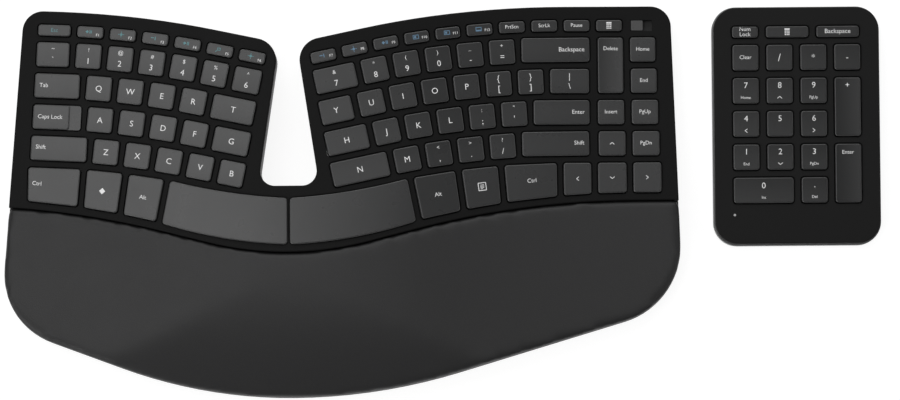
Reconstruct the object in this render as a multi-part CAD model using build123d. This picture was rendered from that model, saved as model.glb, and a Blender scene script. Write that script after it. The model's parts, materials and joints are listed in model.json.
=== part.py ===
from build123d import *
from math import asin, cos, degrees, radians, sin, sqrt, tan
import os

os.makedirs("parts", exist_ok=True)

# Keyboard outline seen from above: x is 0 on the axis of the notch, y is 0 at the front edge
left_front = (-164.8, 78.0)
left_rear = -153.4
right_front = (226.5, 92.0)
right_rear = 222.0
front_low = 1.5
front_left_radius = 285.0
front_left_angle = 20.5
front_right_radius = 340.0
front_right_angle = 16.6
left_front_corner = 42.0
right_front_corner = 45.0
corner_radius = 12.0
notch_front = 122.0
notch_front_half = 17.7
notch_rear_half = 5.1
notch_front_radius = 8.5
notch_rear_radius = 13.0

# Fan of key rows: each row is straight beside the notch, then an arc, then level
fan_x = 160.4
fan_y = -328.6
home_radius = 492.6
fan_angle = 12.14
row_pitch = 18.25
function_row = 2 * row_pitch + 14.13
rear_margin = 11.2

# Seam between the key deck and the palm rest
seam_y = 83.6
seam_crest_radius = 185.0
seam_angle = 14.4
seam_foot_radius = 502.6
seam_foot = 200.0

# Cross profile of the deck: a crest between two hollows, tilted down to the rear
crest_height = 37.5
crest_radius = 600.0
gull_angle = 8.0
left_foot = -165.0
right_foot = 227.0
rear_tilt = 3.0
roll_start = 74.0
roll_radius = 150.0

# Shells
deck_wall = 2.4
deck_edge = 0.8
deck_lip_depth = 7.4
lip_wall = 2.0
case_wall = 2.2
floor_wall = 2.4
foot_height = 1.5
layer_gap = 0.1
side_gap = 0.4
pad_thickness = 9.0
palm_base_wall = 2.0

# Key caps
cap_gap = 3.4
cap_depth = 14.65
function_cap_depth = 7.0
cap_height = 3.6
cap_proud = 1.4
cap_wall = 1.2
cap_roof = 1.6
cap_taper = 6.0
cap_corner = 1.9
cap_edge = 0.6
cap_dish_radius = 150.0
cap_dish_rim = 0.02
cap_clearance = 0.55
key_travel = 2.0

# Layers under the keys, measured down from the deck's top
dome_depth = 5.0
membrane_film = 0.4
plate_wall = 0.8
film_gap = 0.05
seat_gap = 0.3
dome_base = 3.2
dome_top = 2.1
link_width = 9.6
link_length = 9.0
small_link_length = 4.4
link_bar = 0.8
wire_radius = 0.4
wire_inset = 2.2
wired_length = 31.0
long_share = 0.62
small_dome_scale = 0.4

# Fasteners
boss_radius = 3.6
post_radius = 2.1
screw_radius = 1.0
screw_head_radius = 2.0
screw_head_height = 1.6
screw_web = 3.0
screw_reach = 1.3
screw_clearance = 0.15
counterbore_clearance = 0.4
foot_radius = 6.0
foot_recess = 0.6

# Batteries
cell_radius = 5.25
cell_length = 44.5
cell_gap = 1.0
cell_y = 46.0
bay_wall = 1.6
bay_end = 2.0
contact_wall = 0.4
contact_size = 8.0
door_wall = 1.4
door_lip = 1.6
door_gap = 0.35

# Main circuit board
board_length = 74.0
board_width = 24.0
board_wall = 1.6
board_y = 102.0
board_height = 7.0
board_post_radius = 3.0
board_chips = [(-14.0, 0.0, 9.0, 9.0, 1.2), (8.0, 4.0, 6.0, 6.0, 1.0), (24.0, 0.0, 5.0, 14.0, 2.6)]

# Number pad, a separate unit that stands to the right
pad_x = 295.0
pad_y = 155.7
pad_width = 97.4
pad_depth = 139.0
pad_corner = 13.0
pad_height = 16.0
pad_flare = 0.8
pad_column = 19.7
pad_row = 19.3
pad_first_row = 39.5
pad_function_row = 54.4
pad_cap_width = 15.6
pad_cap_depth = 15.3
pad_lip_depth = 6.8
coin_radius = 10.0
coin_height = 2.5
light_radius = 0.7
pad_light = (-36.6, -51.9)
pad_strip = [(-29.7, 15.6), (-5.2, 25.2), (24.1, 25.2)]
pad_chip = 8.0
pad_board_length = 52.0
pad_board_y = 36.0
pad_board_lift = 1.2

reach = 300.0
crest_y = seam_y

# Rows of caps: side, distance behind the home row, start at the notch, then cells by node
caps_lock_step = 6.6
cap_step = 1.3
rows = [
    (-1, function_row, -35.8, [("function_keys_left", [19.1] * 6 + [22.8])]),
    (1, function_row, -35.4, [("function_keys_right", [18.5] * 2 + [18.2] * 3 + [18.85] * 5),
                              ("function_switch", [18.8])]),
    (-1, 2 * row_pitch, -35.9, [("number_keys_left", [19.6] + [18.6] * 5 + [22.8])]),
    (1, 2 * row_pitch, -36.2, [("number_keys_right", [28.2] + [18.6] * 5),
                               ("backspace_key", [43.5])]),
    (-1, row_pitch, -36.2, [("top_letter_keys_left", [28.8] + [18.55] * 4),
                            ("tab_key", [30.0])]),
    (1, row_pitch, -37.0, [("top_letter_keys_right", [22.8] + [18.65] * 6 + [26.5])]),
    (-1, 0.0, -37.0, [("home_letter_keys_left", [24.9] + [18.6] * 4),
                      ("caps_lock_key", [31.7])]),
    (1, 0.0, -37.6, [("home_letter_keys_right", [28.4] + [18.65] * 5),
                     ("enter_key", [36.4])]),
    (-1, -row_pitch, -37.8, [("bottom_letter_keys_left", [18.55] * 5),
                             ("left_shift_key", [36.4])]),
    (1, -row_pitch, -38.2, [("bottom_letter_keys_right", [37.1] + [18.6] * 4),
                            ("right_shift_key", [42.9])]),
]

# Outer ends of the cells in the row nearest the palm rest, by their x on either side
thumb_row = [
    (-1, [("left_space_bar", 71.9), ("left_alt_key", 95.5), ("left_symbol_key", 119.4),
          ("left_ctrl_key", 152.9)]),
    (1, [("right_space_bar", 72.2), ("right_alt_key", 99.4), ("menu_key", 123.6),
         ("right_ctrl_key", 157.2), ("arrow_keys", 177.1), ("arrow_keys", 197.6),
         ("arrow_keys", 217.8)]),
]
thumb_row_front = 4.3
thumb_row_crest = 170.0
bar_gap = 1.6

# Two level columns at the right end, with their caps a little wider in each row
insert_column = 187.0
page_column = 206.7
column_lean = 0.45
column_cap = 15.2
column_growth = 0.3

# Slide switch at the right end of the function row
switch_slot = 12.6
switch_slot_depth = 6.4
switch_knob = 6.8
switch_travel = 5.0

# Places of screws and feet
rear_screws = [(-1, -26.0), (-1, 45.0), (-1, 94.0), (1, -26.0), (1, 45.0), (1, 104.0),
               (1, 170.0)]
side_screws = [(-155.4, 129.0), (219.9, 136.0), (-20.9, 140.0), (20.9, 140.0)]
rear_screw_offset = 6.5
palm_screws = [(-118.0, 62.0), (116.0, 60.0), (0.0, 20.0), (192.0, 80.0), (-46.0, 74.0)]
feet = [(-138.0, 204.0), (-52.0, 200.0), (52.0, 200.0), (207.0, 206.0), (-142.0, 66.0),
        (200.0, 68.0), (-64.0, 24.0), (66.0, 24.0)]
pad_screw_inset = 8.2
pad_foot_inset = 19.0


gull_plane = Plane(origin=(0, crest_y, crest_height), x_dir=(1, 0, 0),
                   z_dir=(0, -cos(radians(rear_tilt)), sin(radians(rear_tilt))))
roll_plane = Plane(origin=(0, crest_y, crest_height),
                   x_dir=(0, cos(radians(rear_tilt)), -sin(radians(rear_tilt))),
                   z_dir=(1, 0, 0))


def fan_point(side, t, d):
    """Plan point and heading at distance t along the row that lies d behind the home row."""
    radius = home_radius + d
    bend = radius * radians(fan_angle)
    heading = fan_angle if t < 0 else max(0.0, fan_angle - degrees(t / radius))
    x = fan_x - radius * sin(radians(heading))
    y = fan_y + radius * cos(radians(heading))
    past = t if t < 0 else max(0.0, t - bend)
    x += past * cos(radians(heading))
    y += past * sin(radians(heading))
    return side * x, y, side * heading


def gull_joints(low_y, crest, angle, foot_radius_, foot_x):
    """Where the crest arc, the straight and the foot arc of a gull curve meet."""
    a = radians(angle)
    x1 = crest * sin(a)
    y1 = low_y + crest * (1 - cos(a))
    x2 = foot_x - foot_radius_ * sin(a)
    y2 = y1 + (x2 - x1) * tan(a)
    return x1, y1, x2, y2, y2 + foot_radius_ * (1 - cos(a))


def gull_y(x, low_y, crest, angle, foot_radius_, foot_x):
    """Height of a gull curve at x: low at x 0, rising to level on both sides."""
    x1, y1, x2, _, y3 = gull_joints(low_y, crest, angle, foot_radius_, foot_x)
    x = abs(x)
    if x < x1:
        return low_y + crest - sqrt(crest ** 2 - x ** 2)
    if x < x2:
        return y1 + (x - x1) * tan(radians(angle))
    return y3 - foot_radius_ + sqrt(foot_radius_ ** 2 - max(0.0, foot_x - x) ** 2)


def gull_edges(curve, span):
    """Edges of a gull curve out to x of span on both sides, and its level height."""
    x1, y1, x2, y2, y3 = gull_joints(*curve)
    foot_x = curve[-1]
    edges = [ThreePointArc((-x1, y1), (0, curve[0]), (x1, y1))]
    xm = (x2 + foot_x) / 2
    ym = gull_y(xm, *curve)
    for side in (-1, 1):
        edges += [Line((side * x1, y1), (side * x2, y2)),
                  ThreePointArc((side * x2, y2), (side * xm, ym), (side * foot_x, y3)),
                  Line((side * foot_x, y3), (side * span, y3))]
    return edges, y3


def area_below(edges, y_end, span):
    base = -50.0
    box = [Line((-span, y_end), (-span, base)), Line((-span, base), (span, base)),
           Line((span, base), (span, y_end))]
    return make_face(Curve() + edges + box)


def seam_area(offset_y):
    """Plan area in front of the seam, moved back by offset_y along its normal."""
    curve = (seam_y + offset_y, seam_crest_radius - offset_y, seam_angle,
             seam_foot_radius + offset_y, seam_foot)
    edges, y_end = gull_edges(curve, reach)
    return area_below(edges, y_end, reach)


def side_x(point, rear_x, rear_y, y):
    """x of a leaning side that passes a point and reaches rear_x at rear_y."""
    return point[0] + (rear_x - point[0]) * (y - point[1]) / (rear_y - point[1])


def front_run(side, radius, angle, point, rear_x, rear_y):
    """Front arc from its low point, the straight beyond it and where that meets the side."""
    a = radians(angle)
    end = (front_low + side * radius * sin(a), radius * (1 - cos(a)))
    middle = (front_low + side * radius * sin(a / 2), radius * (1 - cos(a / 2)))
    y = end[1]
    for _ in range(20):
        x = side_x(point, rear_x, rear_y, y)
        y = end[1] + side * (x - end[0]) * tan(a)
    return [ThreePointArc((front_low, 0), middle, end), Line(end, (x, y))], (x, y)


def outline_area():
    """Plan area of the whole keyboard, with the notch open to the rear."""
    rear_radius = home_radius + function_row + rear_margin
    a = radians(fan_angle)
    x_bend = fan_x - rear_radius * sin(a)
    y_bend = fan_y + rear_radius * cos(a)
    xm = fan_x - rear_radius * sin(a / 2)
    ym = fan_y + rear_radius * cos(a / 2)
    y_flat = fan_y + rear_radius
    y_notch = y_bend - (x_bend - notch_rear_half) * tan(a)
    x_left = left_rear
    y_left = fan_y + sqrt(rear_radius ** 2 - (fan_x + x_left) ** 2)
    left, left_corner = front_run(-1, front_left_radius, front_left_angle, left_front,
                                  left_rear, y_left)
    right, right_corner = front_run(1, front_right_radius, front_right_angle, right_front,
                                    right_rear, y_flat)
    edges = left + right + [
        Line(right_corner, (right_rear, y_flat)),
        Line((right_rear, y_flat), (fan_x, y_flat)),
        ThreePointArc((fan_x, y_flat), (xm, ym), (x_bend, y_bend)),
        Line((x_bend, y_bend), (notch_rear_half, y_notch)),
        Line((notch_rear_half, y_notch), (notch_front_half, notch_front)),
        Line((notch_front_half, notch_front), (-notch_front_half, notch_front)),
        Line((-notch_front_half, notch_front), (-notch_rear_half, y_notch)),
        Line((-notch_rear_half, y_notch), (-x_bend, y_bend)),
        ThreePointArc((-x_bend, y_bend), (-xm, ym), (x_left, y_left)),
        Line((x_left, y_left), left_corner),
    ]
    area = make_face(Curve() + edges)
    corners = [
        (*left_corner, left_front_corner),
        (*right_corner, right_front_corner),
        (right_rear, y_flat, corner_radius),
        (x_left, y_left, corner_radius),
        (notch_rear_half, y_notch, notch_rear_radius),
        (-notch_rear_half, y_notch, notch_rear_radius),
        (notch_front_half, notch_front, notch_front_radius),
        (-notch_front_half, notch_front, notch_front_radius),
    ]
    for x, y, radius in corners:
        corner = min(area.vertices(), key=lambda v: abs(v.X - x) + abs(v.Y - y))
        area = fillet(corner, radius)
    return area


def under_gull(depth):
    """Everything below the deck's curved top, lowered by depth along its normal."""
    a = radians(gull_angle)
    left_hollow = (-left_foot - crest_radius * sin(a)) / sin(a)
    right_hollow = (right_foot - crest_radius * sin(a)) / sin(a)
    edges = []
    for side, foot, hollow in ((-1, left_foot, left_hollow), (1, right_foot, right_hollow)):
        low = -(crest_radius + hollow) * (1 - cos(a))
        centre = low + hollow
        r = hollow + depth
        start = (foot - side * r * sin(a), centre - r * cos(a))
        middle = (foot - side * r * sin(a / 2), centre - r * cos(a / 2))
        end = (foot, low - depth)
        edges += [ThreePointArc(start, middle, end), Line(end, (side * reach, low - depth)),
                  Line((side * reach, low - depth), (side * reach, -reach / 2))]
    r = crest_radius - depth
    low = r * cos(a) - crest_radius
    edges += [ThreePointArc((-r * sin(a), low), (0, -depth), (r * sin(a), low)),
              Line((-reach, -reach / 2), (reach, -reach / 2))]
    return extrude(gull_plane * make_face(Curve() + edges), reach, both=True)


def under_roll(depth):
    """Everything below the palm rest's front roll, lowered by depth."""
    v0 = roll_start - crest_y
    a = radians(55)
    r = roll_radius - depth
    start = (v0, -depth)
    middle = (v0 - r * sin(a / 2), r * cos(a / 2) - roll_radius)
    end = (v0 - r * sin(a), r * cos(a) - roll_radius)
    edges = [Line((reach, -depth), start), ThreePointArc(start, middle, end),
             Line(end, (end[0], -reach / 2)), Line((end[0], -reach / 2), (reach, -reach / 2)),
             Line((reach, -reach / 2), (reach, -depth))]
    return extrude(roll_plane * make_face(Curve() + edges), reach, both=True)


def under_palm(depth):
    return under_gull(depth) & under_roll(depth)


def crest_drop(x):
    """Drop of the cross profile below the crest at x, and its slope down to the right."""
    a = radians(gull_angle)
    side = -1 if x < 0 else 1
    foot = left_foot if x < 0 else right_foot
    hollow = (abs(foot) - crest_radius * sin(a)) / sin(a)
    if abs(x) <= crest_radius * sin(a):
        return crest_radius - sqrt(crest_radius ** 2 - x ** 2), asin(x / crest_radius)
    s = max(0.0, abs(foot) - abs(x))
    drop = (crest_radius + hollow) * (1 - cos(a)) - hollow + sqrt(hollow ** 2 - s ** 2)
    return drop, side * asin(s / hollow)


def deck_frame(x, y, heading):
    """Frame that stands on the deck's top above plan point x, y, turned to heading."""
    drop, slope = crest_drop(x)
    tilt = radians(rear_tilt)
    v = ((y - crest_y) + drop * sin(tilt)) / cos(tilt)
    z = crest_height - v * sin(tilt) - drop * cos(tilt)
    normal = (sin(slope), cos(slope) * sin(tilt), cos(slope) * cos(tilt))
    along = (cos(radians(heading)), sin(radians(heading)), 0)
    return Plane(origin=(x, y, z), x_dir=along, z_dir=normal)


def prism(area, low=0.0, high=60.0, taper=0.0):
    return Pos(0, 0, low) * extrude(area, high - low, dir=(0, 0, 1), taper=taper)


def round_rim(block):
    """Rounds the edge all round the upper face of a block."""
    tops = [f for f in block.faces() if f.normal_at().Z > 0.5]
    edges = [e for f in tops for e in f.edges()]
    rim = [e for e in edges
           if sum((other.center() - e.center()).length < film_gap for other in edges) == 1]
    return fillet(rim, deck_edge)


def layer(area, top, bottom):
    """Curved sheet over a plan area, between two depths below the deck's top."""
    return (prism(area) & under_gull(top)) - under_gull(bottom)


def dish(size):
    """Cylinder that hollows a cap's top across its shorter side."""
    half = min(size) / 2
    depth = half ** 2 / (2 * cap_dish_radius) + cap_dish_rim
    turn = (0, 90, 0) if size[1] <= size[0] else (90, 0, 0)
    return Pos(0, 0, cap_proud - depth + cap_dish_radius) * Cylinder(
        cap_dish_radius, reach, rotation=turn)


def cap(area, size=None, step=None):
    """Hollow key cap in its own frame, whose z is 0 at the deck's top."""
    low = cap_proud - cap_height
    shell = prism(area, low, cap_proud, cap_taper)
    if size and min(size) > function_cap_depth:
        shell -= dish(size)
    shell = fillet(shell.faces().sort_by(Axis.Z)[-1].edges(), cap_edge)
    room = prism(offset(area, -cap_wall), low, cap_proud - cap_roof)
    if step:
        shell += prism(step, low, cap_proud - cap_step, cap_taper)
        room += prism(offset(step, -cap_wall), low, cap_proud - cap_step - cap_wall)
    return shell - room


def link_unit(length):
    """Pair of crossed links in one frame, under one key."""
    low = -dome_depth + film_gap
    high = cap_proud - cap_roof - seat_gap
    half = length / 2
    bars = []
    for side in (-1, 1):
        bar = Polyline((-side * half, low), (-side * half, low + link_bar), (side * half, high),
                       (side * half, high - link_bar), close=True)
        bars.append(make_face(bar))
    cross = extrude(Plane.YZ * (bars[0] + bars[1]), link_bar)
    unit = Pos(link_width / 2 - link_bar, 0, 0) * cross
    unit += Pos(-link_width / 2, 0, 0) * cross
    for y in (-half + link_bar / 2, half - link_bar / 2):
        for z in (low + link_bar / 2, high - link_bar / 2):
            unit += Pos(0, y, z) * Box(link_width, link_bar, link_bar)
    return unit


def dome(scale):
    """Rubber dome that stands on the membrane, under the cap's roof."""
    high = cap_proud - cap_roof - seat_gap - film_gap
    return Pos(0, 0, (high - dome_depth) / 2) * Cone(
        dome_base * scale, dome_top * scale, high + dome_depth)


def wire(length, half_depth):
    """Stabiliser wire: a long bar under the cap's front edge with two legs to the plate."""
    low = -dome_depth + wire_radius + film_gap
    high = cap_proud - cap_roof - 2 * seat_gap - wire_radius
    half = length / 2
    path = FilletPolyline((-half, half_depth, low), (-half, -half_depth, high),
                          (half, -half_depth, high), (half, half_depth, low), radius=1.2)
    start = Plane(origin=path @ 0, z_dir=path % 0)
    return sweep(start * Circle(wire_radius), path)


def row_keys(side, d, start, cells, depth):
    """Frames and plan areas of neighbouring caps, from start outwards."""
    keys = []
    t = start
    for cell in cells:
        x, y, heading = fan_point(side, t + cell / 2, d)
        keys.append((deck_frame(x, y, heading), (cell - cap_gap, depth)))
        t += cell
    return keys, t


def fan_rows():
    found = {}
    for side, d, start, groups in rows:
        depth = function_cap_depth if d == function_row else cap_depth
        t = start
        for node, cells in groups:
            found[node], t = row_keys(side, d, t, cells, depth)
    return found


def column_keys():
    """Caps of the two level columns: navigation keys, the tall delete key and up."""
    level = fan_y + home_radius
    found = {"navigation_keys": [], "delete_key": []}
    for row in (2, 1, 0, -1):
        width = column_cap + column_growth * (2 - row)
        frame = deck_frame(page_column - column_lean * row, level + row * row_pitch, 0)
        found["navigation_keys"].append((frame, (width, cap_depth)))
    frame = deck_frame(insert_column, level, 0)
    width = column_cap + 2 * column_growth
    found["navigation_keys"].append((frame, (width, cap_depth)))
    frame = deck_frame(insert_column, level + 1.5 * row_pitch, 0)
    found["delete_key"].append((frame, (column_cap, cap_depth + row_pitch)))
    frame = deck_frame(insert_column + column_lean, level - row_pitch, 0)
    width = column_cap + 3 * column_growth
    found["arrow_keys"] = [(frame, (width, cap_depth))]
    return found


def side_line(x, shift, middle):
    """Side of a cap in the thumb row: its x and y at the row's middle, and its heading."""
    heading = asin(max(0.0, fan_x - x) / middle) if x else 0.0
    y = fan_y + middle * cos(asin(max(0.0, fan_x - x) / middle))
    return x + shift / cos(heading), y, heading


def meet(line, curve):
    """Point where a side line meets a curve."""
    x, y = line[:2]
    for _ in range(6):
        y = gull_y(x, *curve)
        x = line[0] - (y - line[1]) * tan(line[2])
    return x, y


def thumb_areas():
    """Plan areas of the caps in the row nearest the palm rest, by node."""
    rear_radius = home_radius - 1.5 * row_pitch - (row_pitch - cap_depth) / 2
    a = radians(fan_angle)
    low_y = fan_y + rear_radius / cos(a) - fan_x * tan(a)
    low_y += thumb_row_crest * (1 / cos(a) - 1)
    rear = (low_y, thumb_row_crest, fan_angle, rear_radius, fan_x)
    front = (seam_y + thumb_row_front, seam_crest_radius - thumb_row_front, seam_angle,
             seam_foot_radius + thumb_row_front, seam_foot)
    middle = rear_radius - cap_depth * 0.7
    found = []
    for side, cells in thumb_row:
        inner = 0.0
        for node, outer in cells:
            near = side_line(inner, cap_gap / 2 if inner else bar_gap / 2, middle)
            far = side_line(outer, -cap_gap / 2, middle)
            p = [meet(near, rear), meet(far, rear), meet(far, front), meet(near, front)]
            p = [(side * x, y) for x, y in p]
            if side > 0:
                p = [p[1], p[0], p[3], p[2]]
            edges = [Line(p[1], p[2]), Line(p[3], p[0])]
            for start, end, curve in ((p[0], p[1], rear), (p[2], p[3], front)):
                x = (start[0] + end[0]) / 2
                if node.endswith("space_bar"):
                    edges.append(ThreePointArc(start, (x, gull_y(x, *curve)), end))
                else:
                    edges.append(Line(start, end))
            area = fillet(make_face(Curve() + edges).vertices(), cap_corner).face()
            found.append((node, area))
            inner = outer
    return found


def thumb_frame(area):
    centre = area.bounding_box().center()
    side = -1 if centre.X < 0 else 1
    middle = home_radius - 2 * row_pitch
    heading = side * degrees(asin(max(0.0, fan_x - abs(centre.X)) / middle))
    return deck_frame(centre.X, centre.Y, heading), heading


def local_area(area, frame, heading):
    back = Location((frame.origin.X, frame.origin.Y, 0), (0, 0, heading)).inverse()
    return back * area


caps_made = {}


def plain_cap(size):
    if size not in caps_made:
        caps_made[size] = cap(RectangleRounded(size[0], size[1], cap_corner), size)
    return caps_made[size]


def stepped_cap(size):
    """Cap with a lower step beside its inner end."""
    raised = RectangleRounded(size[0] - caps_lock_step, size[1], cap_corner)
    whole = RectangleRounded(size[0], size[1], cap_corner)
    return cap(Pos(-caps_lock_step / 2, 0) * raised, size, whole)


def curved_cap(area):
    """Long cap whose top follows the deck's curve."""
    low = cap_height - cap_proud
    body = layer(area, -cap_proud, low)
    top = body.faces().filter_by(lambda f: f.normal_at().Z > 0.5).sort_by(Axis.Z)[-1]
    body = fillet(top.edges(), cap_edge)
    room = layer(offset(area, -cap_wall), cap_roof - cap_proud, low + 1)
    return body - room


def fastener(x, y, seat, tip):
    """Screw whose head is screw_web below seat and whose tip is at height tip."""
    head_top = seat - screw_web
    shank = Pos(x, y, head_top) * extrude(Circle(screw_radius), tip - head_top)
    head = Pos(x, y, head_top - screw_head_height) * extrude(
        Circle(screw_head_radius), screw_head_height)
    slot = Pos(x, y, head_top - screw_head_height) * extrude(
        Rectangle(screw_head_radius * 1.3, screw_radius * 0.5), screw_head_height / 2)
    return shank + head - slot - slot.rotate(Axis((x, y, 0), (0, 0, 1)), 90)


def screw_hole(x, y, low, high):
    return Pos(x, y, low) * extrude(Circle(screw_radius + screw_clearance), high - low)


def counterbore(x, y, seat):
    radius = screw_head_radius + counterbore_clearance
    return Pos(x, y, 0) * extrude(Circle(radius), seat - screw_web)


def deck_height(x, y, depth):
    return deck_frame(x, y, 0).origin.Z - depth


def palm_height(x, y, depth):
    v = max(0.0, roll_start - y)
    return deck_height(x, y, depth) - roll_radius + sqrt(roll_radius ** 2 - v ** 2)


def film_holes(points, radius):
    return [Pos(x, y, 0) * extrude(Circle(radius), 2 * crest_height) for x, y in points]


def main():
    parts = {}
    outline = outline_area()
    deck_area = outline - seam_area(0)
    palm_area = outline & seam_area(-side_gap)
    inner_area = offset(deck_area, -lip_wall - side_gap)

    # Caps and what carries them
    keys = fan_rows()
    columns = column_keys()
    arrows = columns.pop("arrow_keys")
    keys.update(columns)
    switch_frame = keys.pop("function_switch")[0][0]
    openings = []
    centres = []
    for node, group in keys.items():
        caps = []
        for frame, size in group:
            made = stepped_cap(size) if node == "caps_lock_key" else plain_cap(size)
            caps.append(frame.location * made)
            hole = RectangleRounded(size[0] + 2 * cap_clearance, size[1] + 2 * cap_clearance,
                                    cap_corner + cap_clearance)
            openings.append(frame.location * prism(hole, -deck_lip_depth, cap_height))
            centres.append((frame, size))
        parts[node] = caps
    parts["arrow_keys"] = []
    for frame, size in arrows:
        parts["arrow_keys"].append(frame.location * plain_cap(size))
        hole = RectangleRounded(size[0] + 2 * cap_clearance, size[1] + 2 * cap_clearance,
                                cap_corner + cap_clearance)
        openings.append(frame.location * prism(hole, -deck_lip_depth, cap_height))
        centres.append((frame, size))
    for node, area in thumb_areas():
        frame, heading = thumb_frame(area)
        length = local_area(area, frame, heading).bounding_box().size.X
        if node.endswith("space_bar"):
            made = curved_cap(area)
            openings.append(prism(offset(area, cap_clearance)))
        else:
            flat = local_area(area, frame, heading)
            made = frame.location * cap(flat)
            openings.append(frame.location * prism(offset(flat, cap_clearance),
                                                   -deck_lip_depth, cap_height))
        parts.setdefault(node, []).append(made)
        centres.append((frame, (length * long_share, cap_depth)))

    links = []
    domes = []
    wires = []
    for frame, size in centres:
        small = size[1] < cap_depth * 0.8
        links.append(frame.location * (small_link if small else wide_link))
        domes.append(frame.location * (small_dome if small else wide_dome))
        if max(size) > wired_length:
            span = max(size) - 2 * (cap_wall + bar_gap)
            half = min(size) / 2 - wire_inset
            turn = Rot(0, 0, 90) if size[1] > size[0] else Rot(0, 0, 0)
            wires.append(frame.location * turn * wire(span, half))
    parts["scissor_links"] = links
    parts["stabiliser_wires"] = wires

    # Screw places: plan point, height of the seat and height of the tip
    deck_points = []
    for side, t in rear_screws:
        x, y, _ = fan_point(side, t, function_row + rear_screw_offset)
        deck_points.append((x, y))
    deck_points += side_screws
    film_top = dome_depth + film_gap
    plate_top = film_top + membrane_film + film_gap
    plate_bottom = plate_top + plate_wall
    deck_seat = plate_bottom + film_gap
    palm_top = pad_thickness + layer_gap
    palm_bottom = palm_top + palm_base_wall
    palm_seat = palm_bottom + screw_web
    fasteners = []
    for x, y in deck_points:
        fasteners.append((x, y, deck_height(x, y, deck_seat), deck_height(x, y, screw_reach)))
    for x, y in palm_screws:
        fasteners.append((x, y, palm_height(x, y, palm_seat),
                          palm_height(x, y, palm_top + screw_reach)))
    parts["case_screws"] = [fastener(*place) for place in fasteners]

    # Deck: a curved plate with a lip, an opening for each cap and posts for the screws
    deck = round_rim(prism(deck_area) & under_gull(0)) - (
        prism(offset(deck_area, -lip_wall)) & under_gull(deck_wall))
    deck -= under_gull(deck_lip_depth)
    deck += [layer(Pos(x, y) * Circle(post_radius), deck_wall / 2, plate_top - film_gap)
             for x, y in deck_points]
    slot = RectangleRounded(switch_slot, switch_slot_depth, cap_edge)
    openings.append(switch_frame.location * prism(slot, -deck_lip_depth, cap_height))
    holes = [screw_hole(x, y, seat, tip + screw_clearance)
             for x, y, seat, tip in fasteners[:len(deck_points)]]
    deck -= openings + holes
    parts["key_deck"] = [deck]

    # Slide switch: a knob in the slot, with a foot under the deck
    knob_x = -switch_slot / 2 + switch_knob / 2 + seat_gap
    knob = Pos(knob_x, 0, -dome_depth + seat_gap) * extrude(
        RectangleRounded(switch_knob, switch_slot_depth - 2 * seat_gap, cap_edge),
        dome_depth)
    parts["function_switch"] = [switch_frame.location * knob]

    # Films, domes and plate
    posts = film_holes(deck_points, post_radius + seat_gap)
    film = layer(inner_area, film_top, film_top + membrane_film)
    parts["rubber_domes"] = domes
    parts["membrane_sheet"] = [film - posts]
    plate = layer(inner_area, plate_top, plate_bottom)
    parts["backplate"] = [plate - [screw_hole(x, y, 0, 2 * crest_height)
                                   for x, y in deck_points]]

    # Palm rest: a soft pad on a stiff base
    pad = (prism(palm_area) & under_palm(0)) - under_palm(pad_thickness)
    parts["palm_rest_pad"] = [pad]
    base = (prism(palm_area) & under_palm(palm_top)) - under_palm(palm_bottom)
    middle = (palm_top + palm_bottom) / 2
    base += [(prism(Pos(x, y) * Circle(post_radius)) & under_palm(middle))
             - under_palm(palm_seat) for x, y in palm_screws]
    base -= [screw_hole(x, y, seat - 1, tip + screw_clearance)
             for x, y, seat, tip in fasteners[len(deck_points):]]
    parts["palm_rest_base"] = [base]

    # Bottom case
    floor_top = foot_height + floor_wall
    under_rim = under_gull(deck_lip_depth + layer_gap)
    rear = prism(deck_area, foot_height) & under_rim
    front = prism(outline & seam_area(0), foot_height) & under_palm(palm_bottom + layer_gap)
    room = prism(offset(outline, -case_wall), floor_top)
    case = (rear + front) - room
    inside_lip = prism(inner_area, foot_height) & under_gull(deck_seat)
    for x, y in deck_points:
        boss = prism(Pos(x, y) * Circle(boss_radius), foot_height)
        case += [boss & under_rim, boss & inside_lip]
    under_base = under_palm(palm_seat + film_gap)
    case += [prism(Pos(x, y) * Circle(boss_radius), foot_height) & under_base
             for x, y in palm_screws]
    case_cuts = [counterbore(x, y, seat) for x, y, seat, tip in fasteners]
    case_cuts += [screw_hole(x, y, foot_height, seat + 1) for x, y, seat, tip in fasteners]
    case_cuts += [prism(Pos(x, y) * Circle(foot_radius + film_gap), 0,
                        foot_height + foot_recess) for x, y in feet]
    parts["rubber_feet"] = [prism(Pos(x, y) * Circle(foot_radius), 0,
                                  foot_height + foot_recess) for x, y in feet]

    # Battery bay, with its cells side by side, contacts at their ends and a door below
    bay_x = cell_length + 2 * bay_end
    bay_y = 4 * cell_radius + cell_gap
    cell_z = foot_height + door_wall + seat_gap + cell_radius
    bay_top = cell_z + cell_radius + seat_gap
    bay = Pos(0, cell_y) * Rectangle(bay_x, bay_y)
    case += prism(Pos(0, cell_y) * Rectangle(bay_x + 2 * bay_wall, bay_y + 2 * bay_wall),
                  foot_height, bay_top + bay_wall)
    case_cuts.append(prism(bay, 0, bay_top))
    door = Rectangle(bay_x + 2 * door_lip, bay_y + 2 * door_lip)
    door_hole = Rectangle(bay_x + 2 * (door_lip + door_gap), bay_y + 2 * (door_lip + door_gap))
    case_cuts.append(prism(Pos(0, cell_y) * door_hole, 0, foot_height + door_wall + film_gap))
    parts["battery_door"] = [prism(Pos(0, cell_y) * door, foot_height,
                                   foot_height + door_wall)]
    cells = []
    contacts = []
    for side in (-1, 1):
        y = cell_y + side * (cell_radius + cell_gap / 2)
        cells.append(Pos(0, y, cell_z) * Cylinder(
            cell_radius, cell_length, rotation=(0, 90, 0)))
        for end in (-1, 1):
            x = end * (bay_x / 2 - contact_wall / 2 - film_gap)
            tab = Box(contact_wall, contact_size, contact_size)
            bump = bay_end - contact_wall - seat_gap - film_gap
            tab += Pos(-end * (contact_wall + bump) / 2, 0, 0) * Cylinder(
                contact_size / 4, bump, rotation=(0, 90, 0))
            contacts.append(Pos(x, y, cell_z) * tab)
    parts["battery_cells"] = cells
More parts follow.
